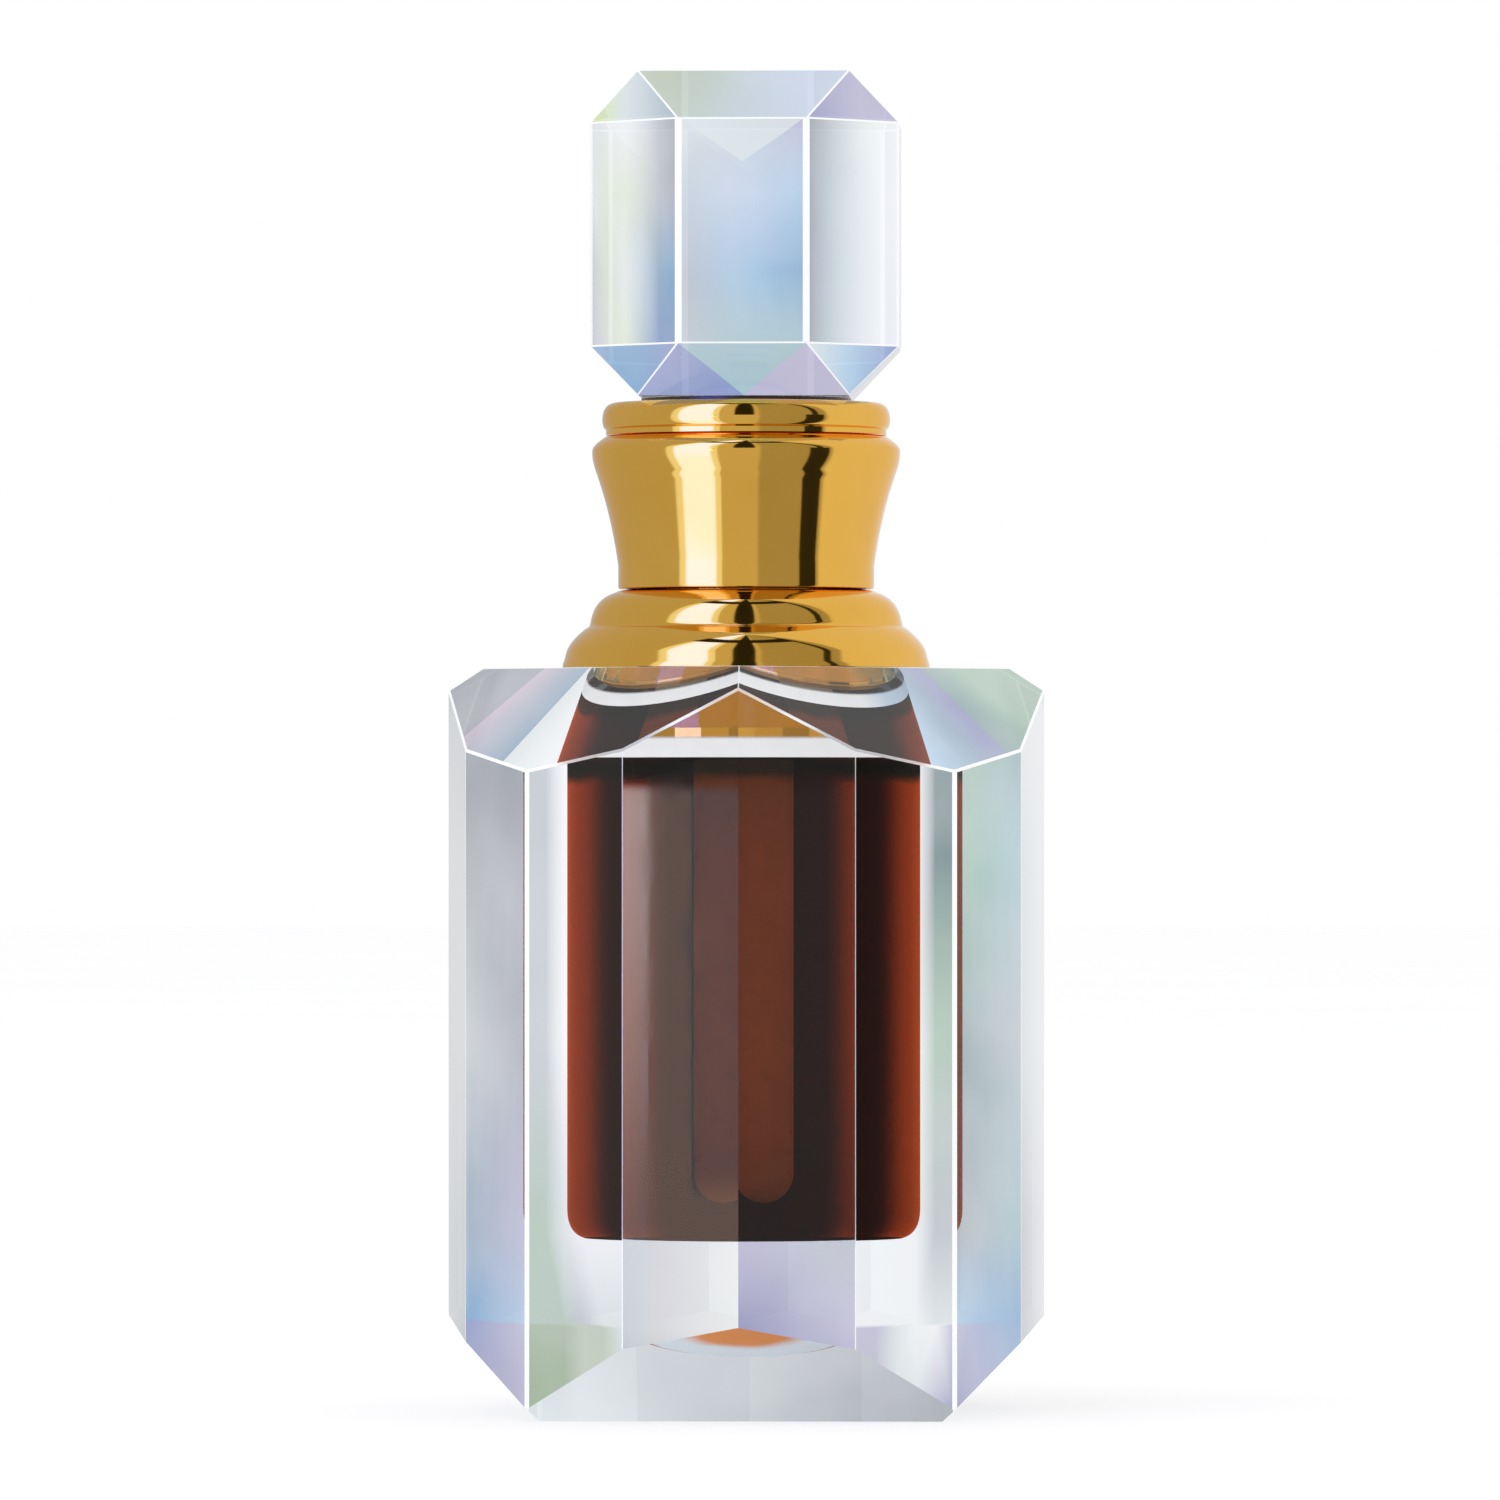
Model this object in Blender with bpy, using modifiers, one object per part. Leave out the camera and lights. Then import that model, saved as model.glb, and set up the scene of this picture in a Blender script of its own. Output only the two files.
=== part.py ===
"""A crystal perfume-oil bottle with a screw cap and a dauber rod.

The body is a sixteen-sided glass prism with cut facets and a straight bore.
A gold neck insert and collar close the bore, and a waisted gold cap with a
crystal knob screws on the neck. The rod hangs from the cap into the oil.
Metres, +Z up, origin in the middle of the base.
"""

import math

import bmesh
import bpy
from mathutils import Matrix, Vector

MM = 0.001
GAP = 0.3 * MM  # kept between pieces that touch
SHARP_ANGLE = math.radians(35)

# Crystal body
BODY_SIDES = 16
BODY_R = 19.86 * MM  # centre to corner
BODY_H = 49.5 * MM
FOOT_HALF = 13.2 * MM  # half side of the square foot
FOOT_SLOPE = 0.964
TABLE_HALF = 12.4 * MM  # half side of the turned square on top
TABLE_SLOPE = 0.92
BORE_R = 8.1 * MM
BORE_FLOOR = 11.6 * MM
BORE_CORNER = 1.4 * MM
OIL_TOP = 43.3 * MM

# Neck insert, its cement, gasket and collar
SKIRT_R = 7.1 * MM
SKIRT_WALL = 0.7 * MM
SKIRT_FOOT = 44.8 * MM
FLANGE_R = 10.4 * MM
FLANGE_FOOT = 50.5 * MM
FLANGE_THICK = 0.7 * MM
NECK_R = 6.0 * MM
NECK_BORE_R = 5.0 * MM
NECK_TOP = 60.0 * MM
COLLAR_R = 12.25 * MM
COLLAR_TOP_R = 8.45 * MM
COLLAR_TOP = 54.5 * MM
THREAD_DEPTH = 0.4 * MM
THREAD_PITCH = 2.0 * MM
THREAD_TURNS = 1.5
LIP_THICK = 0.5 * MM  # wiper lip and cap gasket

# Rod and cap
ROD_R = 2.0 * MM
ROD_FOOT = 14.1 * MM
HOLDER_R = 6.6 * MM
CAP_FOOT = 54.8 * MM
CAP_TOP = 65.0 * MM
CAP_CEILING = 64.2 * MM
CAP_WAIST_R = 8.53 * MM
CAP_LIP_R = 10.27 * MM
CAP_BORE_R = 8.0 * MM
LINER_R = 7.15 * MM
RING_R = 9.6 * MM
RING_BORE_R = 8.0 * MM
RING_TOP = 67.2 * MM
SEAT_THICK = 1.1 * MM
SEAT_BOSS_R = 2.0 * MM
CEMENT_R = 6.8 * MM

# Crystal knob
KNOB_FOOT = 67.5 * MM
KNOB_TOP = 89.0 * MM
KNOB_HALF = 10.27 * MM  # centre to flat side
KNOB_TABLE_HALF = 7.0 * MM
KNOB_CROWN = 3.35 * MM

FINE_STEPS = 40
PLAIN_STEPS = 24


def clear_scene():
    for obj in list(bpy.data.objects):
        bpy.data.objects.remove(obj, do_unlink=True)


def collection(name):
    made = bpy.data.collections.new(name)
    bpy.context.scene.collection.children.link(made)
    return made


def material(name, colour, roughness, metallic=0.0, transmission=0.0):
    made = bpy.data.materials.new(name)
    made.use_nodes = True
    shader = made.node_tree.nodes["Principled BSDF"]
    shader.inputs["Base Color"].default_value = (*colour, 1.0)
    shader.inputs["Roughness"].default_value = roughness
    shader.inputs["Metallic"].default_value = metallic
    shader.inputs["Transmission Weight"].default_value = transmission
    return made


def add_object(name, mesh, home, finish=None):
    obj = bpy.data.objects.new(name, mesh)
    home.objects.link(obj)
    if finish:
        mesh.materials.append(finish)
    return obj


def as_cutter(obj):
    obj.hide_render = True
    obj.display_type = "WIRE"
    return obj


def join_shape(obj, other, operation):
    modifier = obj.modifiers.new(operation.title() + "_" + other.name, "BOOLEAN")
    modifier.operation = operation
    modifier.solver = "EXACT"
    modifier.object = other


def bend(start, control, end, steps=5):
    """Points of a curved stretch from start to end, pulled towards control."""
    points = []
    for step in range(steps + 1):
        t = step / steps
        weights = ((1 - t) ** 2, 2 * t * (1 - t), t ** 2)
        radius, height = (
            sum(w * p[axis] for w, p in zip(weights, (start, control, end))) for axis in (0, 1)
        )
        points.append((radius, height))
    return points


def in_mm(*points):
    return [(radius * MM, height * MM) for radius, height in points]


def turned(name, outline, home, finish=None, steps=PLAIN_STEPS, ring=False):
    """A turned piece from an outline of (radius, height), down its outer side."""
    mesh = bpy.data.meshes.new(name)
    points = [(radius, 0.0, height) for radius, height in outline]
    edges = [(i, i + 1) for i in range(len(points) - 1)]
    if ring:
        edges.append((len(points) - 1, 0))
    mesh.from_pydata(points, edges, [])
    obj = add_object(name, mesh, home, finish)
    screw = obj.modifiers.new("Turn", "SCREW")
    screw.axis = "Z"
    screw.steps = steps
    screw.render_steps = steps
    screw.use_merge_vertices = True
    screw.merge_threshold = 0.00001
    screw.use_smooth_shade = True
    return obj


def washer(name, inner, outer, foot, top, home, finish):
    outline = [(outer, top), (outer, foot), (inner, foot), (inner, top)]
    return turned(name, outline, home, finish, ring=True)


def add_thread(obj, cutters, radius, foot):
    """Joins a helical ridge of the thread's pitch to a round wall of this radius."""
    name = obj.name + "_thread"
    steps = PLAIN_STEPS
    count = int(THREAD_TURNS * steps) + 1
    curve = bpy.data.curves.new(name, "CURVE")
    curve.dimensions = "3D"
    curve.bevel_depth = THREAD_DEPTH
    curve.bevel_resolution = 1
    curve.use_fill_caps = True
    spline = curve.splines.new("POLY")
    spline.points.add(count - 1)
    for index, point in enumerate(spline.points):
        # Half a step round keeps the ridge's points off the wall's corners.
        angle = 2 * math.pi * (index + 0.5) / steps
        height = foot + THREAD_PITCH * index / steps
        point.co = (radius * math.cos(angle), radius * math.sin(angle), height, 1.0)
    guide = add_object(name + "_guide", curve, cutters)
    graph = bpy.context.evaluated_depsgraph_get()
    mesh = bpy.data.meshes.new_from_object(guide.evaluated_get(graph))
    bpy.data.objects.remove(guide, do_unlink=True)
    shape = bmesh.new()
    shape.from_mesh(mesh)
    bmesh.ops.remove_doubles(shape, verts=shape.verts, dist=1e-6)
    bmesh.ops.recalc_face_normals(shape, faces=shape.faces)
    shape.to_mesh(mesh)
    shape.free()
    join_shape(obj, as_cutter(add_object(name, mesh, cutters)), "UNION")


def prism(sides, corner_r, foot, top, turn=0.0):
    shape = bmesh.new()
    bmesh.ops.create_cone(
        shape, cap_ends=True, segments=sides, radius1=corner_r, radius2=corner_r, depth=top - foot
    )
    bmesh.ops.rotate(shape, verts=shape.verts, matrix=Matrix.Rotation(turn, 3, "Z"))
    bmesh.ops.translate(shape, verts=shape.verts, vec=(0.0, 0.0, (top + foot) / 2))
    return shape


def cut_facet(shape, azimuth, near, far):
    """Takes off what lies beyond the sloping plane through near and far.

    Both are (distance from the axis along the azimuth, height). Azimuth 0 is -Y.
    """
    away = Vector((math.sin(azimuth), -math.cos(azimuth), 0.0))
    along = Vector((-away.y, away.x, 0.0))
    fall = away * (far[0] - near[0]) + Vector((0.0, 0.0, far[1] - near[1]))
    normal = fall.cross(along).normalized()
    if normal.dot(away) < 0:
        normal.negate()
    point = away * near[0] + Vector((0.0, 0.0, near[1]))
    everything = shape.verts[:] + shape.edges[:] + shape.faces[:]
    bmesh.ops.bisect_plane(
        shape, geom=everything, dist=1e-7, plane_co=point, plane_no=normal, clear_outer=True
    )
    rim = [edge for edge in shape.edges if edge.is_boundary]
    bmesh.ops.holes_fill(shape, edges=rim, sides=0)


def gem_object(name, shape, home, finish):
    bmesh.ops.remove_doubles(shape, verts=shape.verts, dist=1e-6)
    bmesh.ops.recalc_face_normals(shape, faces=shape.faces)
    mesh = bpy.data.meshes.new(name)
    shape.to_mesh(mesh)
    shape.free()
    return add_object(name, mesh, home, finish)


def make_bottle_body(home, cutters, finish):
    """Sixteen sides, four cuts down to a square foot, four up to a turned square."""
    shape = prism(BODY_SIDES, BODY_R, 0.0, BODY_H)
    foot_rise = (BODY_R - FOOT_HALF) * FOOT_SLOPE
    table_fall = (BODY_R - TABLE_HALF) * TABLE_SLOPE
    for quarter in range(4):
        square = math.radians(90 * quarter)
        diagonal = math.radians(90 * quarter + 45)
        cut_facet(shape, square, (FOOT_HALF, 0.0), (BODY_R, foot_rise))
        cut_facet(shape, diagonal, (TABLE_HALF, BODY_H), (BODY_R, BODY_H - table_fall))
    body = gem_object("bottle_body", shape, home, finish)
    over = BODY_H + 1 * MM
    corner = (BORE_R, BORE_FLOOR)
    outline = [(0.0, over), (BORE_R, over)]
    outline += bend((BORE_R, BORE_FLOOR + BORE_CORNER), corner, (BORE_R - BORE_CORNER, BORE_FLOOR))
    outline.append((0.0, BORE_FLOOR))
    join_shape(body, as_cutter(turned("bore", outline, cutters, steps=FINE_STEPS)), "DIFFERENCE")


def make_perfume_oil(home, finish):
    """Fills the bore up to the air gap, round the room of the rod."""
    radius = BORE_R - GAP
    floor = BORE_FLOOR + GAP
    rod_room_r = ROD_R + GAP
    rod_room_foot = ROD_FOOT - GAP
    outline = [(0.0, rod_room_foot), (rod_room_r, rod_room_foot), (rod_room_r, OIL_TOP)]
    outline.append((radius, OIL_TOP))
    outline += bend((radius, floor + BORE_CORNER), (radius, floor), (radius - BORE_CORNER, floor))
    outline.append((0.0, floor))
    turned("perfume_oil", outline, home, finish, FINE_STEPS)


def make_neck_insert(home, cutters, finish):
    """The threaded neck, its flange on the glass and its skirt in the bore."""
    flange_top = FLANGE_FOOT + FLANGE_THICK
    skirt_inner = SKIRT_R - SKIRT_WALL
    outline = [
        (NECK_R, NECK_TOP),
        (NECK_R, flange_top),
        (FLANGE_R, flange_top),
        (FLANGE_R, FLANGE_FOOT),
        (SKIRT_R, FLANGE_FOOT),
        (SKIRT_R, SKIRT_FOOT),
        (skirt_inner, SKIRT_FOOT),
        (skirt_inner, FLANGE_FOOT - GAP),
        (NECK_BORE_R, flange_top - GAP),
        (NECK_BORE_R, NECK_TOP),
    ]
    insert = turned("neck_insert", outline, home, finish, ring=True)
    add_thread(insert, cutters, NECK_R, NECK_TOP - (THREAD_TURNS + 0.5) * THREAD_PITCH)


def make_collar(home, finish):
    """Bell shape: a round shoulder, a small step and a flare down to the glass."""
    foot = BODY_H + GAP
    step = 52.3 * MM
    neck_room = NECK_R + GAP
    flange_room = FLANGE_R + GAP
    under = FLANGE_FOOT + FLANGE_THICK + GAP
    outline = [(neck_room, COLLAR_TOP)]
    outline += bend((COLLAR_TOP_R, COLLAR_TOP), (9.95 * MM, 54.3 * MM), (10.4 * MM, step + GAP))
    outline += bend((10.55 * MM, step), (11.75 * MM, 51.6 * MM), (12.0 * MM, 50.8 * MM))
    outline += [(COLLAR_R, foot + GAP), (COLLAR_R, foot), (COLLAR_R - 1 * MM, foot)]
    outline += [(flange_room, under), (neck_room, under)]
    turned("shoulder_collar", outline, home, finish, FINE_STEPS, ring=True)


def make_neck_seals(home, plastic, cement):
    washer("collar_gasket", SKIRT_R + 1.5 * MM, FLANGE_R, BODY_H + GAP, FLANGE_FOOT - GAP, home, plastic)
    washer("neck_cement", SKIRT_R + GAP, BORE_R - GAP, SKIRT_FOOT + 0.7 * MM, BODY_H - GAP, home, cement)
    lip_foot = NECK_TOP + GAP
    plug_r = NECK_BORE_R - GAP
    hole_r = ROD_R + GAP
    plug_length = 4.0 * MM
    outline = [
        (NECK_R - GAP, lip_foot + LIP_THICK),
        (NECK_R - GAP, lip_foot),
        (plug_r, lip_foot),
        (plug_r, NECK_TOP - plug_length),
        (hole_r, NECK_TOP - plug_length),
        (hole_r, lip_foot + LIP_THICK),
    ]
    turned("rod_wiper", outline, home, plastic, ring=True)


def make_rod_and_holder(home, white, gasket, rod_finish):
    """The wad on the neck, the disc above it and the rod that hangs from the disc."""
    wad_foot = NECK_TOP + LIP_THICK + 2 * GAP
    washer("cap_gasket", ROD_R + GAP, NECK_R + 0.2 * MM, wad_foot, wad_foot + LIP_THICK, home, gasket)
    holder_foot = wad_foot + LIP_THICK + GAP
    holder_top = CAP_CEILING - GAP
    socket_top = holder_top - 0.4 * MM
    outline = [
        (0.0, holder_top),
        (HOLDER_R, holder_top),
        (HOLDER_R, holder_foot),
        (ROD_R + GAP, holder_foot),
        (ROD_R + GAP, socket_top),
        (0.0, socket_top),
    ]
    turned("rod_holder", outline, home, white)
    outline = [(0.0, socket_top - GAP), (ROD_R, socket_top - GAP)]
    for step in range(7):
        angle = math.radians(90) * step / 6
        outline.append((ROD_R * math.cos(angle), ROD_FOOT + ROD_R * (1 - math.sin(angle))))
    turned("dauber_rod", outline, home, rod_finish)


def make_cap_shell(home, finish):
    """A thin waisted shell: a rounded lip over a hollow curve to a straight foot."""
    boss_room = SEAT_BOSS_R + GAP
    lip_top = 64.4 * MM
    lip_foot = 63.6 * MM
    curve_foot = 56.3 * MM
    wide_bore = 9.2 * MM
    outline = [(boss_room, CAP_TOP)]
    outline += bend((9.35 * MM, CAP_TOP), (10.2 * MM, CAP_TOP), (CAP_LIP_R, lip_top), 4)
    outline += bend((CAP_LIP_R, lip_foot), (10.2 * MM, 62.9 * MM), (9.95 * MM, 62.4 * MM), 3)
    outline += bend((9.9 * MM, 62.3 * MM), (9.0 * MM, 59.6 * MM), (CAP_WAIST_R, curve_foot), 7)
    outline += [(CAP_WAIST_R, CAP_FOOT), (CAP_BORE_R, CAP_FOOT), (CAP_BORE_R, 57.0 * MM)]
    outline += [(wide_bore, 62.6 * MM), (wide_bore, CAP_CEILING), (boss_room, CAP_CEILING)]
    turned("cap_shell", outline, home, finish, FINE_STEPS, ring=True)


def make_cap_liner(home, cutters, finish):
    outer = CAP_BORE_R - GAP
    foot = CAP_FOOT + GAP
    liner = washer("cap_liner", LINER_R, outer, foot, CAP_CEILING - GAP, home, finish)
    add_thread(liner, cutters, LINER_R, foot + 0.8 * MM)


def make_cap_top(home, gold, seat_finish, cement):
    """The bead on the cap, the disc inside it and the cement under the crystal."""
    foot = CAP_TOP + GAP
    outline = [(RING_BORE_R, RING_TOP)]
    outline += bend((8.7 * MM, RING_TOP), (RING_R, 67.15 * MM), (RING_R, 66.1 * MM))
    outline += [(RING_R, 65.75 * MM), (9.35 * MM, foot), (RING_BORE_R, foot)]
    turned("cap_top_ring", outline, home, gold, FINE_STEPS, ring=True)
    seat_r = RING_BORE_R - GAP
    boss_foot = CAP_CEILING + GAP
    outline = [
        (0.0, foot + SEAT_THICK),
        (seat_r, foot + SEAT_THICK),
        (seat_r, foot),
        (SEAT_BOSS_R, foot),
        (SEAT_BOSS_R, boss_foot),
        (0.0, boss_foot),
    ]
    turned("crystal_seat", outline, home, seat_finish)
    cement_top = KNOB_FOOT - GAP
    outline = [(0.0, cement_top), (CEMENT_R, cement_top)]
    outline += [(CEMENT_R, foot + SEAT_THICK + GAP), (0.0, foot + SEAT_THICK + GAP)]
    turned("stopper_cement", outline, home, cement)


def make_stopper_crystal(home, finish):
    """Eight sides with the same cuts at both ends, down to a square at each."""
    turn = math.radians(22.5)
    shape = prism(8, KNOB_HALF / math.cos(turn), KNOB_FOOT, KNOB_TOP, turn)
    corner = KNOB_TABLE_HALF * math.sqrt(2)
    for end, inward in ((KNOB_TOP, -KNOB_CROWN), (KNOB_FOOT, KNOB_CROWN)):
        far = (KNOB_HALF, end + inward)
        for quarter in range(4):
            square = math.radians(90 * quarter)
            cut_facet(shape, square, (KNOB_TABLE_HALF, end), far)
            cut_facet(shape, square + 2 * turn, (corner, end), far)
    gem_object("stopper_crystal", shape, home, finish)


def shade():
    """Round pieces are smooth, and the cut glass stays flat."""
    for obj in bpy.data.objects:
        if obj.type == "MESH" and "Turn" in obj.modifiers:
            obj.data.set_sharp_from_angle(angle=SHARP_ANGLE)


def main():
    clear_scene()
    home = collection("perfume_bottle")
    cutters = collection("cutters")
    crystal = material("crystal", (0.93, 0.96, 0.97), 0.02, transmission=1.0)
    gold = material("polished_gold", (0.85, 0.60, 0.20), 0.08, metallic=1.0)
    oil = material("amber_oil", (0.16, 0.03, 0.02), 0.05, transmission=0.6)
    cement = material("clear_cement", (0.92, 0.92, 0.88), 0.2, transmission=0.8)
    white = material("white_plastic", (0.85, 0.85, 0.82), 0.4)
    foam = material("gasket", (0.75, 0.75, 0.72), 0.6)
    rod = material("frosted_rod", (0.80, 0.72, 0.62), 0.3, transmission=0.5)

    make_bottle_body(home, cutters, crystal)
    make_perfume_oil(home, oil)
    make_neck_insert(home, cutters, gold)
    make_collar(home, gold)
    make_neck_seals(home, white, cement)
    make_rod_and_holder(home, white, foam, rod)
    make_cap_shell(home, gold)
    make_cap_liner(home, cutters, white)
    make_cap_top(home, gold, white, cement)
    make_stopper_crystal(home, crystal)
    shade()


main()
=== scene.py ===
"""The looks of the crystal perfume-oil bottle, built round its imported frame."""

import math

import bmesh
import bpy
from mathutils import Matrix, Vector


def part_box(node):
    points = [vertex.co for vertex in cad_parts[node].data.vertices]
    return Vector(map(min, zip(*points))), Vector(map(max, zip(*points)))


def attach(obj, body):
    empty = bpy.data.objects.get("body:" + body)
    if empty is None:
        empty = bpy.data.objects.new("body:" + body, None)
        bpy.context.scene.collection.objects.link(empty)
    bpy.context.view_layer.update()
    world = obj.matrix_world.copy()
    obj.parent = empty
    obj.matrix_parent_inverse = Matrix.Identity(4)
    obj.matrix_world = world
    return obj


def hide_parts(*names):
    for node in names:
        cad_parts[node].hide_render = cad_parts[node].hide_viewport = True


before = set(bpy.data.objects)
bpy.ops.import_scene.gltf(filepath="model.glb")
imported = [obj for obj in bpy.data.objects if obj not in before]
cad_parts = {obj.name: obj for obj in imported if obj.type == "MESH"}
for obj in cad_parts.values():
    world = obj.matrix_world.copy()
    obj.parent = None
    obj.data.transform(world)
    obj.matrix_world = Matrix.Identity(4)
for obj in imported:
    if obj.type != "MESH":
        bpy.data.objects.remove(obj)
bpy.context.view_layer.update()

MM = 0.001

# Sizes read from the frame
body_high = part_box("bottle_body")[1]
oil_low, oil_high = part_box("perfume_oil")
knob_low, knob_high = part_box("stopper_crystal")
shell_low, shell_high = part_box("cap_shell")
ring_low, ring_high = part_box("cap_top_ring")
collar_low, collar_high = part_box("shoulder_collar")
rod_low, rod_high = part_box("dauber_rod")
insert_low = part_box("neck_insert")[0]
bed_low, bed_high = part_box("stopper_cement")

# The bore reaches past the CAD's oil by the clearance that the CAD leaves round it.
CAD_GAP = 0.3 * MM
BORE_R = oil_high.x + CAD_GAP
BORE_FLOOR = oil_low.z - CAD_GAP
BORE_CORNER = 2.0 * MM
MENISCUS_RISE = 0.25 * MM
OIL_CLEARANCE = 0.03 * MM

# The gold pieces reach this much lower than their nodes, to close the CAD's own gaps.
GOLD_REACH = 0.25 * MM

BODY_CHAMFER = 0.45 * MM
KNOB_CHAMFER = 0.54 * MM
TURN_STEPS = 144
SHARP_ANGLE = math.radians(35)
WELD = 0.001 * MM
FINE_WELD = 0.0001 * MM

GLASS_INDEX = 1.52
OIL_INDEX = 1.47
WHITE = (1.0, 1.0, 1.0, 1.0)
ICE = (0.93, 0.95, 1.0, 1.0)

# Material slots of the cut stones: the crystal comes first.
EDGE_SLOT = 1
WET_SLOT = 2
DRY_SLOT = 3


# ---------------------------------------------------------------- node helpers

class Graph:
    """Short calls for building a node tree."""

    def __init__(self, tree):
        self.tree = tree
        tree.nodes.clear()

    def node(self, kind, **settings):
        made = self.tree.nodes.new(kind)
        for key, value in settings.items():
            setattr(made, key, value)
        return made

    def link(self, source, socket):
        self.tree.links.new(source, socket)

    def feed(self, socket, value):
        if isinstance(value, bpy.types.NodeSocket):
            self.link(value, socket)
        else:
            socket.default_value = value

    def math(self, operation, first, second=0.0):
        made = self.node("ShaderNodeMath", operation=operation)
        self.feed(made.inputs[0], first)
        self.feed(made.inputs[1], second)
        return made.outputs[0]

    def mix(self, share, first, second, blend="MIX"):
        """Two colours mixed by a share of the second. Inputs 6 and 7 are the node's colours."""
        made = self.node("ShaderNodeMix", data_type="RGBA", blend_type=blend)
        self.feed(made.inputs[0], share)
        self.feed(made.inputs[6], first)
        self.feed(made.inputs[7], second)
        return made.outputs[2]

    def step(self, value, low, high):
        """0 at low and 1 at high, smooth between them and level beyond."""
        made = self.node("ShaderNodeMapRange", interpolation_type="SMOOTHSTEP")
        self.feed(made.inputs[0], value)
        made.inputs[1].default_value = low
        made.inputs[2].default_value = high
        return made.outputs[0]

    def band(self, value, low, high, soft):
        """1 between low and high, falling to 0 over soft on each side."""
        rise = self.step(value, low - soft, low)
        fall = self.step(value, high, high + soft)
        return self.math("SUBTRACT", rise, fall)

    def place(self):
        """Where a point lies on its object."""
        return self.node("ShaderNodeTexCoord").outputs["Object"]

    def axes(self, vector):
        """The x, y and z of a vector."""
        parts = self.node("ShaderNodeSeparateXYZ")
        self.link(vector, parts.inputs[0])
        return parts.outputs

    def noise(self, place, scale, detail=2.0):
        made = self.node("ShaderNodeTexNoise")
        self.link(place, made.inputs["Vector"])
        made.inputs["Scale"].default_value = scale
        made.inputs["Detail"].default_value = detail
        return made.outputs["Fac"]

    def spread(self, value, low, high):
        """A noise remapped, so that its usual range of 0.3 to 0.7 runs from low to high."""
        made = self.node("ShaderNodeMapRange")
        self.feed(made.inputs[0], value)
        made.inputs[1].default_value = 0.3
        made.inputs[2].default_value = 0.7
        made.inputs[3].default_value = low
        made.inputs[4].default_value = high
        return made.outputs[0]

    def bump(self, height, strength, distance):
        made = self.node("ShaderNodeBump")
        made.inputs["Strength"].default_value = strength
        made.inputs["Distance"].default_value = distance
        self.link(height, made.inputs["Height"])
        return made.outputs[0]

    def clear(self, tint):
        """A surface that light crosses unbent, taking its tint."""
        made = self.node("ShaderNodeBsdfTransparent")
        self.feed(made.inputs[0], tint)
        return made.outputs[0]

    def blend(self, share, first, second):
        """Two shaders mixed by a share of the second."""
        made = self.node("ShaderNodeMixShader")
        self.link(share, made.inputs[0])
        self.link(first, made.inputs[1])
        self.link(second, made.inputs[2])
        return made.outputs[0]


def new_material(name):
    material = bpy.data.materials.new(name)
    material.use_nodes = True
    return material, Graph(material.node_tree)


def grey(level):
    return (level, level, level, 1.0)


def screen(red, green, blue):
    """A screen colour from 0 to 255 as linear light."""
    return tuple(((c / 255) / 12.92 if c < 11 else ((c / 255 + 0.055) / 1.055) ** 2.4)
                 for c in (red, green, blue))


# ------------------------------------------------------------------- materials

def let_lamps_through(graph, surface, tint):
    """Shadow and diffuse rays pass straight through glass, as lamp light really does."""
    path = graph.node("ShaderNodeLightPath")
    share = graph.math("MAXIMUM", path.outputs["Is Shadow Ray"], path.outputs["Is Diffuse Ray"])
    return graph.blend(share, surface, graph.clear((*tint, 1.0)))


def finish_material(graph, surface, volume=None):
    output = graph.node("ShaderNodeOutputMaterial")
    graph.link(surface, output.inputs["Surface"])
    if volume:
        graph.link(volume, output.inputs["Volume"])


def one_sided(graph, outside, inside):
    """Shows one shader to a ray that meets the outer side, and another from within."""
    side = graph.node("ShaderNodeNewGeometry")
    return graph.blend(side.outputs["Backfacing"], outside, inside)


def crystal_material(name):
    """Cut crystal whose facets each carry a soft gradient: partly a pastel pearl coating, partly painted
    refractions and shade of what lies behind the glass.
    """
    material, g = new_material(name)
    # The vertex colours hold the pearl tints together with the painted refractions and shade.
    pearl = g.node("ShaderNodeVertexColor", layer_name=COAT_AND_REFRACTION_LAYER).outputs[0]
    place = g.place()
    cloud = g.spread(g.noise(place, 110.0), 0.0, 0.14)
    coat = g.mix(cloud, pearl, ICE)
    shader = g.node("ShaderNodeBsdfPrincipled")
    g.link(coat, shader.inputs["Base Color"])
    smudge = g.noise(place, 300.0, 3.0)
    g.link(g.spread(smudge, 0.0, 0.02), shader.inputs["Roughness"])
    shader.inputs["Transmission Weight"].default_value = 1.0
    shader.inputs["IOR"].default_value = GLASS_INDEX
    ripple = g.bump(g.noise(place, 90.0, 1.0), 0.006, 0.05 * MM)
    g.link(ripple, shader.inputs["Normal"])
    inside = g.clear(g.mix(0.86, coat, WHITE))
    surface = one_sided(g, shader.outputs[0], inside)
    finish_material(g, let_lamps_through(g, surface, (0.93, 0.94, 0.95)))
    return material


def edge_material():
    """The bright line that a cut edge shows, partly a painted highlight: the chamfer takes a pale, rough
    finish that lights up white.
    """
    material, g = new_material("cut_edge")
    shader = g.node("ShaderNodeBsdfPrincipled")
    # Painted highlight: the pale base colour makes the chamfer show as a white line.
    tone = g.mix(g.noise(g.place(), 400.0), ICE, WHITE)
    g.link(tone, shader.inputs["Base Color"])
    shader.inputs["Roughness"].default_value = 0.25
    shader.inputs["Transmission Weight"].default_value = 0.55
    shader.inputs["IOR"].default_value = GLASS_INDEX
    surface = one_sided(g, shader.outputs[0], g.clear((0.97, 0.98, 1.0, 1.0)))
    finish_material(g, let_lamps_through(g, surface, (0.9, 0.9, 0.92)))
    return material


def wet_wall_material():
    """Glass against oil of nearly its own index, which light crosses unbent."""
    material, g = new_material("wet_wall")
    finish_material(g, g.clear(WHITE))
    return material


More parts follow.
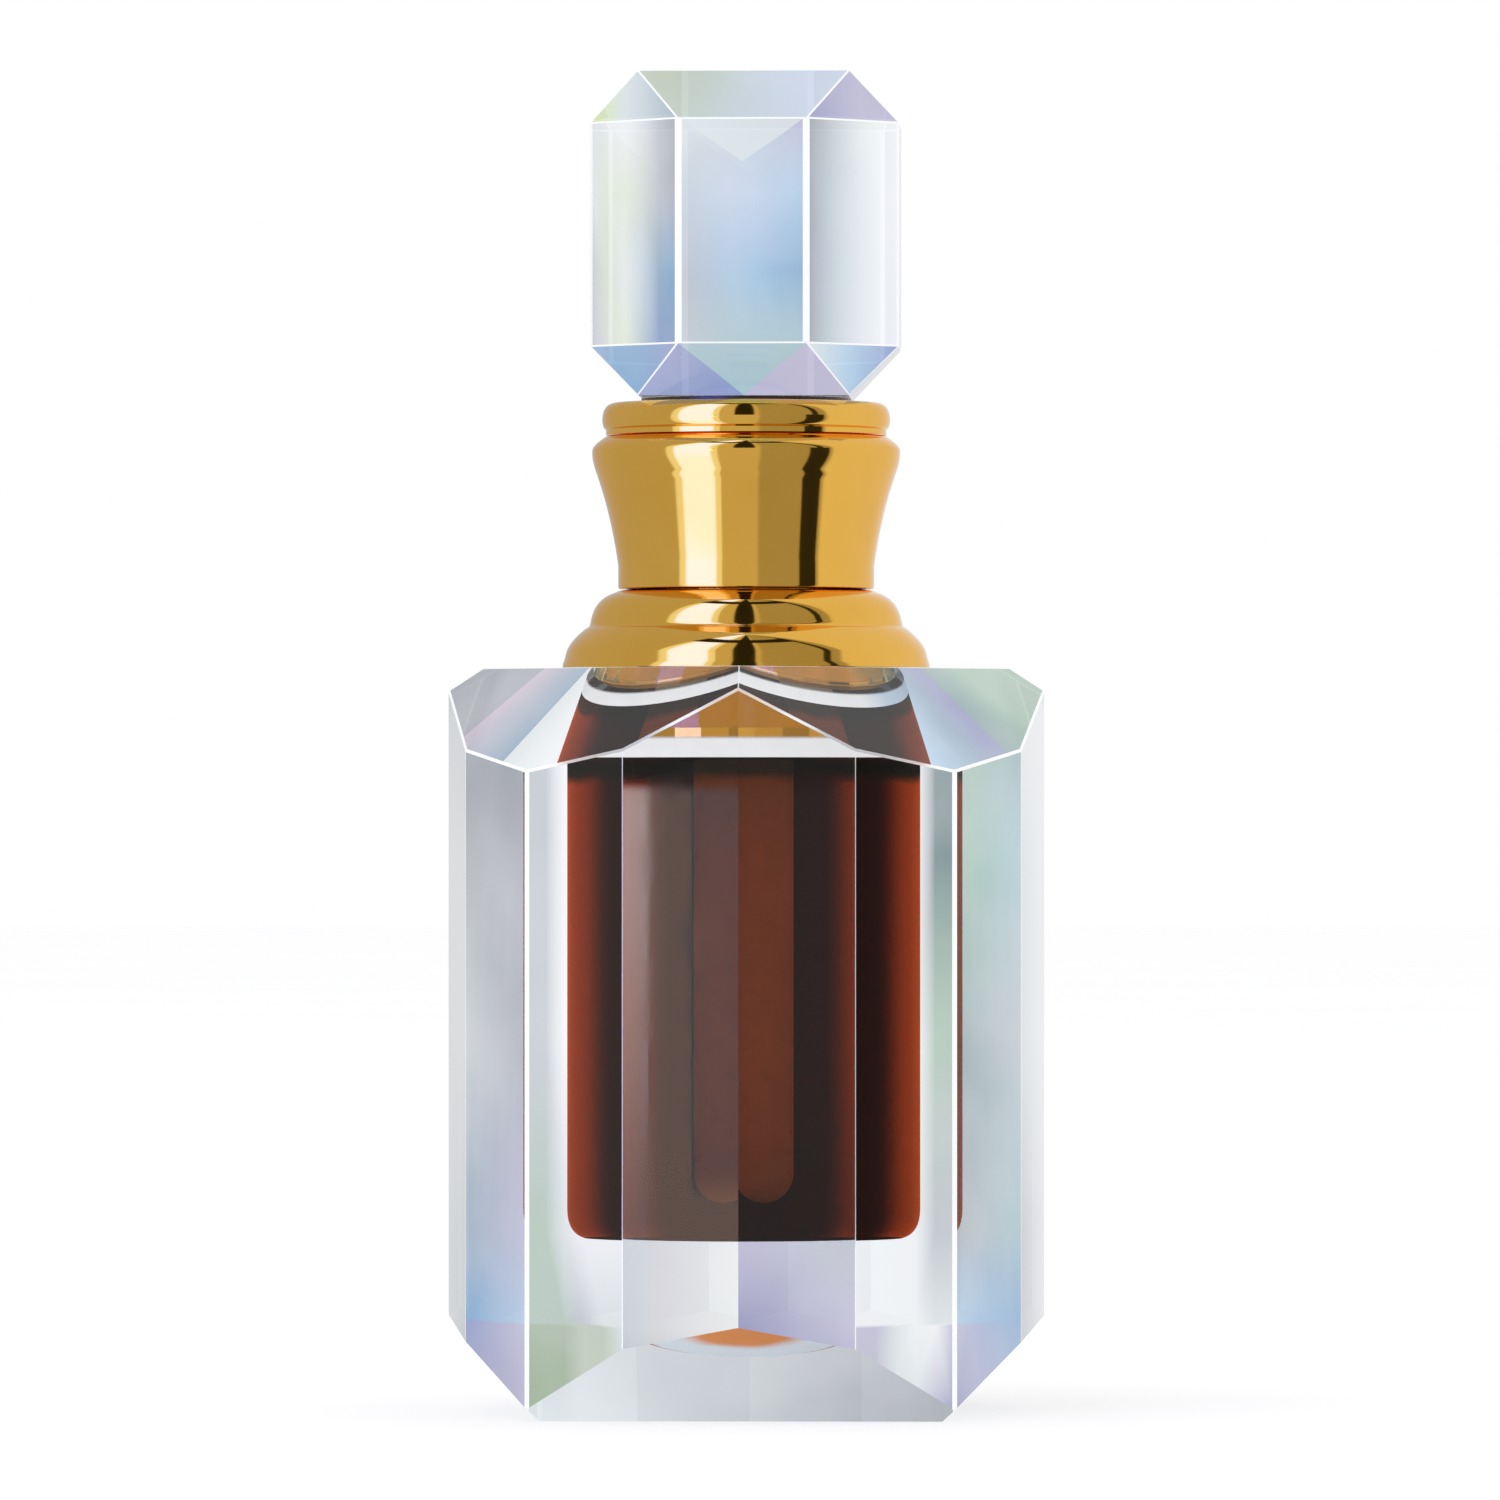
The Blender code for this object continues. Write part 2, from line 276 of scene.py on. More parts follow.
def dry_wall_material():
    """The drilled wall over the oil, whitest in the strip left bare under the neck."""
    material, g = new_material("dry_wall")
    place = g.place()
    height = g.axes(place)[2]
    bare = g.band(height, oil_high.z, insert_low.z - 0.1 * MM, 0.3 * MM)
    share = g.math("MULTIPLY", bare, g.spread(g.noise(place, 400.0), 0.86, 0.90))
    haze = g.node("ShaderNodeBsdfDiffuse")
    haze.inputs[0].default_value = (0.97, 0.96, 0.95, 1.0)
    finish_material(g, g.blend(share, g.clear((0.97, 0.97, 0.98, 1.0)), haze.outputs[0]))
    return material


OIL_COLOUR = (0.70, 0.625, 0.375, 1.0)
OIL_DENSITY = 400.0
OIL_STAIN = (0.75, 0.29, 0.14, 1.0)
OIL_TOP_DARK = (0.12, 0.10, 0.09, 1.0)
# Painted light and shade of the oil's foot: its glow, amber in the middle and paler round it, and its
# near black seen from within.
AMBER_GLOW = (0.65, 0.19, 0.01, 1.0)
GROUND_GLASS_GLOW = (0.61, 0.64, 0.66, 1.0)
OIL_FOOT_WITHIN = (0.06, 0.03, 0.02, 1.0)


def oil_body(g):
    """The oil itself, which swallows blue light first."""
    volume = g.node("ShaderNodeVolumeAbsorption")
    volume.inputs["Color"].default_value = OIL_COLOUR
    volume.inputs["Density"].default_value = OIL_DENSITY
    return volume.outputs[0]


def oil_wall_material():
    """The side of the oil, tinted red brown: painted shade darkens its back, and it is darker along its
    wavy top.
    """
    material, g = new_material("oil_wall")
    place = g.place()
    x, y, z = g.axes(place)
    # Painted shade: the wall is darkest within 25 degrees of the back, and plain past 46.
    off_back = g.math("ARCTAN2", g.math("ABSOLUTE", x), y)
    shade = g.step(off_back, math.radians(25.0), math.radians(46.0))
    tint_and_shade = g.mix(shade, grey(0.12), grey(1.0))
    tint_and_shade = g.mix(1.0, tint_and_shade, OIL_STAIN, "MULTIPLY")
    # A darker wavy band just under the oil's top.
    wave = g.math("ADD", z, g.spread(g.noise(place, 250.0), -0.25 * MM, 0.25 * MM))
    near_top = g.step(wave, oil_high.z - 1.6 * MM, oil_high.z - 0.7 * MM)
    tint_and_shade = g.mix(near_top, tint_and_shade, OIL_TOP_DARK)
    finish_material(g, g.clear(tint_and_shade), oil_body(g))
    return material


def oil_foot_material():
    """The ground floor of the bore, painted light and shade: an amber glow in its middle, a paler glow
    round it, and near black where it is seen from within the oil.
    """
    material, g = new_material("oil_foot")
    place = g.place()
    x, y = g.axes(place)[:2]
    reach = g.math("SQRT", g.math("ADD", g.math("MULTIPLY", x, x), g.math("MULTIPLY", y, y)))
    reach = g.math("ADD", reach, g.spread(g.noise(place, 300.0), -0.2 * MM, 0.2 * MM))
    tone = g.mix(g.step(reach, 2.6 * MM, 4.6 * MM), AMBER_GLOW, GROUND_GLASS_GLOW)
    # Painted shade: seen from within the oil, the foot is near black.
    within = g.node("ShaderNodeNewGeometry").outputs["Backfacing"]
    tone = g.mix(within, tone, OIL_FOOT_WITHIN)
    shader = g.node("ShaderNodeBsdfPrincipled")
    g.link(tone, shader.inputs["Base Color"])
    # Painted light: the foot's colour is emitted, so it glows though it is no lamp.
    g.link(tone, shader.inputs["Emission Color"])
    shader.inputs["Emission Strength"].default_value = 0.6
    shader.inputs["Roughness"].default_value = 0.5
    finish_material(g, shader.outputs[0], oil_body(g))
    return material


def oil_top_material():
    """The level surface of the oil and its meniscus."""
    material, g = new_material("oil_top")
    shader = g.node("ShaderNodeBsdfPrincipled")
    tone = g.mix(g.noise(g.place(), 200.0), (1.0, 0.93, 0.85, 1.0), (1.0, 0.97, 0.93, 1.0))
    g.link(tone, shader.inputs["Base Color"])
    shader.inputs["Roughness"].default_value = 0.0
    shader.inputs["Transmission Weight"].default_value = 1.0
    shader.inputs["IOR"].default_value = OIL_INDEX
    finish_material(g, let_lamps_through(g, shader.outputs[0], (1.0, 1.0, 1.0)), oil_body(g))
    return material


def gold_material(name, warm=0.0):
    """Lacquered gold plate: polished, with faint smudges and hairlines. Warm gold is redder."""
    material, g = new_material(name)
    place = g.place()
    shader = g.node("ShaderNodeBsdfPrincipled")
    less_green = 0.08 * warm
    less_blue = 0.03 * warm
    tone = g.mix(
        g.spread(g.noise(place, 120.0, 3.0), 0.0, 1.0),
        (0.88, 0.475 - less_green, 0.045 - less_blue, 1.0),
        (0.94, 0.525 - less_green, 0.065 - less_blue, 1.0),
    )
    g.link(tone, shader.inputs["Base Color"])
    shader.inputs["Metallic"].default_value = 1.0
    smudge = g.noise(place, 350.0, 4.0)
    g.link(g.spread(smudge, 0.04, 0.08), shader.inputs["Roughness"])
    shader.inputs["Specular Tint"].default_value = (1.0, 0.76, 0.40, 1.0)
    shader.inputs["Coat Weight"].default_value = 0.8
    shader.inputs["Coat Roughness"].default_value = 0.03
    stretch = g.node("ShaderNodeMapping")
    stretch.inputs["Scale"].default_value = (60.0, 60.0, 2500.0)
    g.link(place, stretch.inputs[0])
    hairlines = g.bump(g.noise(stretch.outputs[0], 1.0), 0.03, 0.03 * MM)
    g.link(hairlines, shader.inputs["Normal"])
    finish_material(g, shader.outputs[0])
    return material


def plastic_material(name, dark, light, roughness, through=0.0, glow=0.0):
    """Moulded plastic with a fine orange-peel and slight mottling."""
    material, g = new_material(name)
    place = g.place()
    shader = g.node("ShaderNodeBsdfPrincipled")
    tone = g.mix(g.spread(g.noise(place, 250.0), 0.0, 1.0), (*dark, 1.0), (*light, 1.0))
    g.link(tone, shader.inputs["Base Color"])
    dulling = g.spread(g.noise(place, 600.0), roughness - 0.05, roughness + 0.08)
    g.link(dulling, shader.inputs["Roughness"])
    shader.inputs["Transmission Weight"].default_value = through
    # A glow above zero is painted light: the plastic's colour is emitted, though it is no lamp.
    g.link(tone, shader.inputs["Emission Color"])
    shader.inputs["Emission Strength"].default_value = glow
    peel = g.bump(g.noise(place, 1500.0), 0.1, 0.05 * MM)
    g.link(peel, shader.inputs["Normal"])
    finish_material(g, shader.outputs[0])
    return material


# -------------------------------------------------------------------- geometry

def bend(start, control, end, steps=10):
    """Points of a curved stretch from start to end, pulled towards control."""
    points = []
    for step in range(steps + 1):
        t = step / steps
        points.append(tuple(
            (1 - t) ** 2 * a + 2 * t * (1 - t) * b + t ** 2 * c
            for a, b, c in zip(start, control, end)
        ))
    return points


def object_from(shape, name, materials):
    """A new object that takes over a bmesh shape."""
    mesh = bpy.data.meshes.new(name)
    shape.to_mesh(mesh)
    shape.free()
    for material in materials:
        mesh.materials.append(material)
    obj = bpy.data.objects.new(name, mesh)
    bpy.context.scene.collection.objects.link(obj)
    return obj


def lathe(name, outline, materials, ring=False, pick=None):
    """A turned piece. Its outline of (radius, height) runs down the outer side."""
    shape = bmesh.new()
    points = [shape.verts.new((radius, 0.0, height)) for radius, height in outline]
    edges = [shape.edges.new(pair) for pair in zip(points, points[1:])]
    if ring:
        edges.append(shape.edges.new((points[-1], points[0])))
    bmesh.ops.spin(
        shape, geom=points + edges, cent=(0, 0, 0), axis=(0, 0, 1),
        angle=math.tau, steps=TURN_STEPS, use_merge=True,
    )
    bmesh.ops.remove_doubles(shape, verts=shape.verts, dist=FINE_WELD)
    bmesh.ops.recalc_face_normals(shape, faces=shape.faces)
    for face in shape.faces:
        face.smooth = True
        if pick:
            face.material_index = pick(face)
    obj = object_from(shape, name, materials)
    obj.data.set_sharp_from_angle(angle=SHARP_ANGLE)
    return obj


def gem_from(node, name, chamfer, weigh, materials):
    """The cut stone that a CAD node's corners span, with a fine chamfer on its edges."""
    shape = bmesh.new()
    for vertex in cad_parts[node].data.vertices:
        shape.verts.new(vertex.co)
    bmesh.ops.remove_doubles(shape, verts=shape.verts, dist=WELD)
    hull = bmesh.ops.convex_hull(shape, input=shape.verts)
    spare = {item for item in hull["geom_interior"] + hull["geom_unused"]
             if isinstance(item, bmesh.types.BMVert)}
    bmesh.ops.delete(shape, geom=list(spare), context="VERTS")
    bmesh.ops.dissolve_limit(
        shape, angle_limit=math.radians(1.0), verts=shape.verts, edges=shape.edges
    )
    bmesh.ops.recalc_face_normals(shape, faces=shape.faces)
    weights = shape.edges.layers.float.new("bevel_weight_edge")
    for edge in shape.edges:
        edge[weights] = weigh(edge)
    gem = object_from(shape, name, materials)
    bevel = gem.modifiers.new("Chamfer", "BEVEL")
    bevel.width = chamfer
    bevel.offset_type = "WIDTH"
    bevel.limit_method = "WEIGHT"
    bevel.segments = 1
    bevel.material = EDGE_SLOT
    return gem


def settle(obj):
    """Replaces the mesh by what its modifiers make of it."""
    graph = bpy.context.evaluated_depsgraph_get()
    made = bpy.data.meshes.new_from_object(obj.evaluated_get(graph))
    obj.modifiers.clear()
    obj.data = made


def side_of(point):
    """Azimuth of a point in turns, from 0 at the front, growing to the right."""
    return math.atan2(point.x, -point.y) / math.tau % 1.0


COAT_AND_REFRACTION_LAYER = "pearl"

# The coat's colours on a screen: pastel pearl tints, and greys and whites that paint refractions and
# shade in the glass
COAT_AND_REFRACTION_COLOURS = {
    "white": (248, 249, 252),
    "snow": (230, 236, 238),
    "cream": (238, 243, 226),
    "haze": (206, 217, 224),
    "frost": (214, 223, 240),
    "mist": (204, 208, 215),
    "smoke": (178, 181, 190),
    "ash": (160, 164, 174),
    "rose": (214, 202, 216),
    "lilac": (200, 196, 222),
    "violet": (156, 157, 200),
    "iris": (146, 164, 212),
    "sky": (182, 212, 236),
    "azure": (124, 180, 218),
    "deep": (92, 152, 206),
    "slate": (158, 184, 202),
    "aqua": (176, 206, 214),
    "teal": (144, 172, 176),
    "pine": (124, 154, 156),
    "mint": (182, 206, 190),
    "leaf": (166, 190, 156),
    "sage": (202, 214, 198),
    "lemon": (220, 238, 140),
}

# Rows of the coat at shares of a stone's height, each row from left to right. The rows mix pastel pearl
# tints with painted refractions and shade, such as the greys and the crisp line near the foot. A quarter
# turn to the right of the front edge comes first, then the one to its left.
BODY_ROWS = (0.97, 0.75, 0.5, 0.25, 0.132, 0.128, 0.02)
BODY_RIGHT = (
    ("white white", "white white", "white white", "lilac mist", "violet lilac", "violet lilac",
     "violet violet"),
    ("white white white white pine pine", "white white white white pine pine",
     "white white white white mint mint", "white white white white mist mist",
     "white white white white snow snow", "lilac lilac snow white white lilac",
     "mist mist snow snow lilac violet"),
    ("mint teal", "mint aqua", "teal mist", "smoke aqua", "sky azure", "lilac azure", "violet lilac"),
    ("white white", "snow white", "snow white", "mist white", "mist white", "mist white", "lilac mist"),
)
BODY_LEFT = (
    ("snow snow", "white white", "white white", "white snow", "white snow", "white snow", "ash smoke"),
    ("ash ash", "smoke smoke", "mist smoke", "slate lilac", "azure sky", "iris lilac", "violet lilac"),
    ("mist mist white white white white", "mist mist white white white white",
     "mist mist white white white white", "mint mint snow white white white",
     "mint mint mint mist snow snow", "leaf leaf leaf sage sage snow",
     "leaf leaf leaf sage sage sage"),
    ("white white", "white white", "white white", "mist snow", "mist snow", "mist snow", "smoke mist"),
)
BODY_COAT_AND_REFRACTION = (BODY_RIGHT + BODY_LEFT) * 2
KNOB_ROWS = (0.85, 0.62, 0.38, 0.16)
KNOB_FRONT = ("snow haze lilac", "haze frost sky", "mist sky azure", "mist aqua aqua")
KNOB_RIGHT = ("ash mist snow white white",) + ("ash haze snow white white",) * 3
KNOB_SIDE = ("mist white", "mist snow", "lilac snow", "violet mist")
KNOB_LEFT = (
    "snow white white mist ash", "snow cream cream mist smoke",
    "mist cream white slate azure", "lilac cream cream deep deep",
)
KNOB_COAT_AND_REFRACTION = (KNOB_FRONT, KNOB_RIGHT, KNOB_SIDE, KNOB_LEFT) * 2
# Slopes go round from the front in eighths of a turn, with pearl tints and painted refractions and shade.
# A bar makes a crisp line, a painted image of a far edge.
BODY_SLOPES = (
    "mist", "white white white white sky slate violet | teal mint mint",
    "snow", "smoke smoke | rose slate | snow white white white white white",
) * 2
BODY_FEET = ("snow smoke",) * 8
KNOB_TOPS = ("sage sage haze frost frost", "violet lilac lilac", "mist snow", "lemon snow haze slate") * 2
KNOB_FEET = ("aqua", "snow sky iris", "mist sky", "azure azure iris") * 2
# Painted vees: the far facets' images, seen through the glass, painted onto the knob's broad sides. Each
# gives base, tip, half the base, share of the inner colour, the colours inside, outside to the left and
# to the right
KNOB_PAINTED_VEES = (
    (knob_high.z - 3.5 * MM, knob_high.z - 6.2 * MM, 4.0 * MM, 0.75, "snow", None, None),
    (knob_low.z + 3.2 * MM, knob_low.z + 0.01 * MM, 4.0 * MM, 1.0, "aqua", "iris", "lilac"),
)


def between(first, second, share):
    return [a + (b - a) * share for a, b in zip(first, second)]


def along(names, share):
    """Linear colour at a share of the way along a row of names, each bar a crisp line."""
    place = min(max(share, 0.0), 1.0) * len(names.replace("|", " ").split())
    for stretch in names.split("|"):
        row = [screen(*COAT_AND_REFRACTION_COLOURS[name]) for name in stretch.split()]
        if place <= len(row):
            break
        place -= len(row)
    place *= (len(row) - 1) / len(row)
    index = min(int(place), len(row) - 1)
    return between(row[index], row[min(index + 1, len(row) - 1)], place - index)


def coat_on_side(rows, coat, across, up):
    """Blend of the two rows of a side's coat above and below a height."""
    if up >= rows[0]:
        return along(coat[0], across)
    for index in range(len(rows) - 1):
        if up >= rows[index + 1]:
            part = (rows[index] - up) / (rows[index] - rows[index + 1])
            return between(along(coat[index], across), along(coat[index + 1], across), part)
    return along(coat[-1], across)


# The upright part of a unit normal: under the first, the face is a side, and over the
# second, it is a top.
SIDE_LIMIT = 0.05
TOP_LIMIT = 0.98
SIDE_PARTS = 5
NUDGE = 0.02


def slice_shape(shape, faces, point, normal):
    """Cuts some faces along a plane, so that colour can change there."""
    parts = set(faces)
    parts.update(edge for face in faces for edge in face.edges)
    parts.update(vertex for face in faces for vertex in face.verts)
    bmesh.ops.bisect_plane(shape, geom=list(parts), plane_co=point, plane_no=normal, dist=WELD)


def cut_for_coat(shape, rows, low, high, count, shift):
    """A level cut at each row, and upright ones that part each side into fifths."""
    for share in rows:
        slice_shape(shape, shape.faces[:], (0, 0, low + (high - low) * share), (0, 0, 1))
    for index in range(count // 2):
        for part in range(1, SIDE_PARTS):
            turn = math.tau * ((index + part / SIDE_PARTS) / count + shift)
            slice_shape(shape, shape.faces[:], (0, 0, 0), (math.cos(turn), math.sin(turn), 0))


def cut_vee(shape, base, tip, half):
    """Cuts both arms of a vee into the four broad sides or their slopes."""
    for across in (Vector((1, 0, 0)), Vector((0, 1, 0))):
        inward = across.cross(Vector((0, 0, 1)))
        for hand in (-1, 1):
            arm = across * half * hand + Vector((0, 0, base - tip))
            faces = [face for face in shape.faces
                     if abs(face.normal.dot(across)) < 0.01 and abs(face.normal.z) < TOP_LIMIT
                     and max(vertex.co.z for vertex in face.verts) > tip
                     and min(vertex.co.z for vertex in face.verts) < base]
            slice_shape(shape, faces, (0, 0, tip), arm.cross(inward))


def in_vee(face, vees, colour):
    """The colour of a face of a broad side after the painted vees, images of the far facets, that cross
    it.
    """
    middle = face.calc_center_median()
    aside = middle.dot(Vector((-face.normal.y, face.normal.x, 0)).normalized())
    for base, tip, half, share, inner, left, right in vees:
        if not tip < middle.z < base:
            continue
        if abs(aside) < half * (middle.z - tip) / (base - tip):
            return between(colour, screen(*COAT_AND_REFRACTION_COLOURS[inner]), share)
        if left:
            return screen(*COAT_AND_REFRACTION_COLOURS[left if aside < 0 else right])
    return colour


def paint_coat_and_refraction(obj, rows, coat, tops, feet, shift, vees=()):
    """Paints each facet's gradient: pearl tints with painted refractions and shade. Sides begin shift of
    a turn off the front.
    """
    shape = bmesh.new()
    shape.from_mesh(obj.data)
    low = min(vertex.co.z for vertex in shape.verts)
    high = max(vertex.co.z for vertex in shape.verts)
    middle = (low + high) / 2
    count = len(coat)
    cut_for_coat(shape, rows, low, high, count, shift)
    for vee in vees:
        cut_vee(shape, *vee[:3])
    layer = shape.loops.layers.color.new(COAT_AND_REFRACTION_LAYER)
    for face in shape.faces:
        slope = abs(face.normal.z)
        turn = side_of(face.normal)
        side = int((turn - shift) * count) % count
        eighth = int(turn * 8 + 0.5) % 8
        heart = face.calc_center_median()
        slopes = tops if heart.z > middle else feet
        broad = eighth % 2 == 0
        spans = 4 if broad or count > 8 else 8
        for loop in face.loops:
            # A little inside the face, so that a crisp line falls between two faces
            place = (side_of(loop.vert.co.lerp(heart, NUDGE)) - turn + 0.5) % 1.0 - 0.5
            up = (loop.vert.co.z - low) / (high - low)
            if face.material_index:
                colour = screen(*COAT_AND_REFRACTION_COLOURS["white"])
            elif slope < SIDE_LIMIT:
                colour = coat_on_side(rows, coat[side], place * count + 0.5, up)
            elif slope < TOP_LIMIT:
                colour = along(slopes[eighth], place * spans + 0.5)
            else:
                colour = screen(*COAT_AND_REFRACTION_COLOURS["snow"])
            if not face.material_index and broad and slope < TOP_LIMIT:
                colour = in_vee(face, vees, colour)
            loop[layer] = (*colour, 1.0)
    shape.to_mesh(obj.data)
    shape.free()


def upright(edge):
    """Whether an edge stands within about 25 degrees of upright."""
    first, second = edge.verts
    return abs((first.co - second.co).normalized().z) > 0.9


def body_edge_width(edge):
    """Share of the chamfer: whole on the four corners, none where sides meet nearly flat."""
    middle = (edge.verts[0].co + edge.verts[1].co) / 2
    if upright(edge):
        sixteenth = round(side_of(middle) * 16)
        return (0.0, 0.15, 1.0, 0.15)[sixteenth % 4]
    if middle.z < body_high.z / 4:
        return 0.0
    return 0.2 if middle.z > body_high.z - 2 * MM else 0.5


def knob_edge_width(edge):
    """Share of the chamfer: widest on the upright edges, none round the foot."""
    middle = (edge.verts[0].co + edge.verts[1].co) / 2
    if abs(middle.z - knob_low.z) < 0.01 * MM:
        return 0.0
    if abs(middle.z - knob_high.z) < 0.01 * MM:
        return 0.25
    return 0.9 if upright(edge) else 0.22


def bore_outline(radius, floor):
    """The rounded corner and the floor of the bore, or of the oil that fills it."""
    corner = bend((radius, floor + BORE_CORNER), (radius, floor), (radius - BORE_CORNER, floor))
    return corner + [(0.0, floor)]


def make_crystal_body(crystal, edge, wet, dry):
    """The drilled crystal: the cut stone less its bore."""
    coats = [crystal, edge, wet, dry]
    body = gem_from("bottle_body", "crystal_body", BODY_CHAMFER, body_edge_width, coats)
    level = oil_high.z + MENISCUS_RISE
    over = body_high.z + 1 * MM
    outline = [(0.0, over), (BORE_R, over), (BORE_R, level)] + bore_outline(BORE_R, BORE_FLOOR)
    cutter = lathe(
        "bore_cutter", outline, coats,
        pick=lambda face: WET_SLOT if face.calc_center_median().z < level else DRY_SLOT,
    )
    cut = body.modifiers.new("Bore", "BOOLEAN")
    cut.operation = "DIFFERENCE"
    cut.solver = "EXACT"
    cut.object = cutter
    settle(body)
    bpy.data.objects.remove(cutter, do_unlink=True)
    paint_coat_and_refraction(body, BODY_ROWS, BODY_COAT_AND_REFRACTION, BODY_SLOPES, BODY_FEET, 0.0)
    for polygon in body.data.polygons:
        polygon.use_smooth = polygon.material_index in (WET_SLOT, DRY_SLOT)
    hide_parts("bottle_body")
    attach(body, "bottle")


def oil_slot(face):
    """Material slot of a face of the oil: 0 for its wall, 1 for its top, 2 for its foot."""
    if face.normal.z > 0.3:
        return 1
    return 2 if face.normal.z < -0.95 else 0


def make_oil(wall, top, base):
    """The oil, with a low meniscus where it wets the glass."""
    radius = BORE_R - OIL_CLEARANCE
    level = oil_high.z
    outline = [(0.0, level), (radius - 1.2 * MM, level)]
    outline += bend(
        (radius - 1.0 * MM, level), (radius - 0.1 * MM, level), (radius, level + MENISCUS_RISE), 6,
    )
    outline += bore_outline(radius, BORE_FLOOR + OIL_CLEARANCE)
    oil = lathe("amber_oil", outline, [wall, top, base], pick=oil_slot)
    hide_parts("perfume_oil")
    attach(oil, "bottle")


def make_rod(finish):
    """The applicator rod, with a round tip."""
    radius = rod_high.x
    foot = rod_low.z
    tip_steps = 12
    outline = [(0.0, rod_high.z), (radius, rod_high.z)]
    for step in range(tip_steps + 1):
        angle = math.radians(90) * step / tip_steps
        outline.append((radius * math.cos(angle), foot + radius * (1 - math.sin(angle))))
    rod = lathe("applicator_rod", outline, [finish])
    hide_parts("dauber_rod")
    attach(rod, "rod_unit")


def make_gold_ring(gold):
    """The rolled bead on top of the cap."""
    low = ring_low.z - GOLD_REACH
    high = ring_high.z
    radius = ring_high.x
    inner = radius - 1.6 * MM
    waist = radius - 0.25 * MM
    outline = [(inner, high)]
    outline += bend((radius - 0.95 * MM, high), (radius - 0.05 * MM, high), (radius, high - 1.05 * MM))
    outline += bend((radius, high - 1.15 * MM), (radius, low + 0.5 * MM), (waist, low + 0.35 * MM), 6)
    outline += [(waist, low), (inner, low)]
    piece = lathe("gold_bead", outline, [gold], ring=True)
    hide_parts("cap_top_ring")
    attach(piece, "cap")


def make_gold_cap(gold):
    """Waisted shell with a rounded lip, open below and with a hole in its top."""
    top = shell_high.z
    foot = shell_low.z
    lip = shell_high.x
    waist = lip - 1.74 * MM
    inner = waist - 0.5 * MM
    inner_top = lip - 1.1 * MM
    hole = 2.3 * MM
    ceiling = top - 0.8 * MM
    outline = [(hole, top), (lip - 1.0 * MM, top)]
    outline += bend((lip - 0.95 * MM, top - 0.03 * MM), (lip, top - 0.62 * MM), (lip, top - 1.0 * MM), 8)
    outline += bend((lip, top - 1.15 * MM), (lip, top - 1.8 * MM), (lip - 0.35 * MM, top - 2.65 * MM), 8)
    outline += bend(
        (lip - 0.37 * MM, top - 2.75 * MM), (waist + 0.45 * MM, top - 5.4 * MM),
        (waist, foot + 1.5 * MM), 16,
    )
    outline += bend((waist, foot + 0.12 * MM), (waist, foot), (waist - 0.12 * MM, foot), 4)
    outline += [(inner, foot), (inner, foot + 2.2 * MM), (inner_top, top - 2.4 * MM)]
    outline += [(inner_top, ceiling), (hole, ceiling)]
    piece = lathe("gold_cap", outline, [gold], ring=True)
    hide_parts("cap_shell")
    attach(piece, "cap")


def make_gold_collar(gold):
    """Bell collar: a round shoulder, a step and a flare."""
    top = collar_high.z + 0.2 * MM
    foot = collar_low.z - GOLD_REACH
    radius = collar_high.x
    neck = 6.3 * MM
    step = foot + 2.75 * MM
    ceiling = foot + 1.7 * MM
    outline = [(neck, top)]
    outline += bend(
        (radius - 3.95 * MM, top), (radius - 3.8 * MM, top), (radius - 3.6 * MM, top - 0.1 * MM), 4,
    )
    outline += bend(
        (radius - 3.5 * MM, top - 0.15 * MM), (radius - 2.15 * MM, top - 0.55 * MM),
        (radius - 1.88 * MM, step + 0.35 * MM), 12,
    )
    outline += bend(
        (radius - 1.85 * MM, step + 0.2 * MM), (radius - 1.85 * MM, step),
        (radius - 1.65 * MM, step - 0.1 * MM), 4,
    )
    outline += bend(
        (radius - 1.55 * MM, step - 0.15 * MM), (radius - 0.45 * MM, foot + 1.75 * MM),
        (radius - 0.25 * MM, foot + 1.0 * MM), 12,
    )
    outline += bend((radius - 0.1 * MM, foot + 0.45 * MM), (radius, foot + 0.2 * MM), (radius, foot), 4)
    outline += [(radius - 1.0 * MM, foot), (radius - 1.55 * MM, ceiling), (neck, ceiling)]
    piece = lathe("gold_collar", outline, [gold], ring=True)
    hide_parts("shoulder_collar")
    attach(piece, "bottle")


def make_knob(crystal, edge):
    """The cut crystal on top of the cap."""
    knob = gem_from("stopper_crystal", "crystal_knob", KNOB_CHAMFER, knob_edge_width, [crystal, edge])
    settle(knob)
    paint_coat_and_refraction(knob, KNOB_ROWS, KNOB_COAT_AND_REFRACTION, KNOB_TOPS, KNOB_FEET, -1 / 16, KNOB_PAINTED_VEES)
    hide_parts("stopper_crystal")
    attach(knob, "cap")


def make_bed(finish):
    """A bed of cement under the knob, made near black so that it also paints the shade that falls in the
    gap under the knob.
    """
    radius = bed_high.x + 0.2 * MM
    top = knob_low.z - 0.02 * MM
    outline = [(0.0, top), (radius, top), (radius, bed_low.z), (0.0, bed_low.z)]
    bed = lathe("knob_bed_painted_shade", outline, [finish])
    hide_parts("stopper_cement")
    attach(bed, "cap")


def dress(node, material):
    """A CAD node that keeps its shape and takes a better material."""
    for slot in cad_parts[node].material_slots:
        slot.material = material


# ------------------------------------------------------------- stage and light

FLOOR_SIZE = 6.0


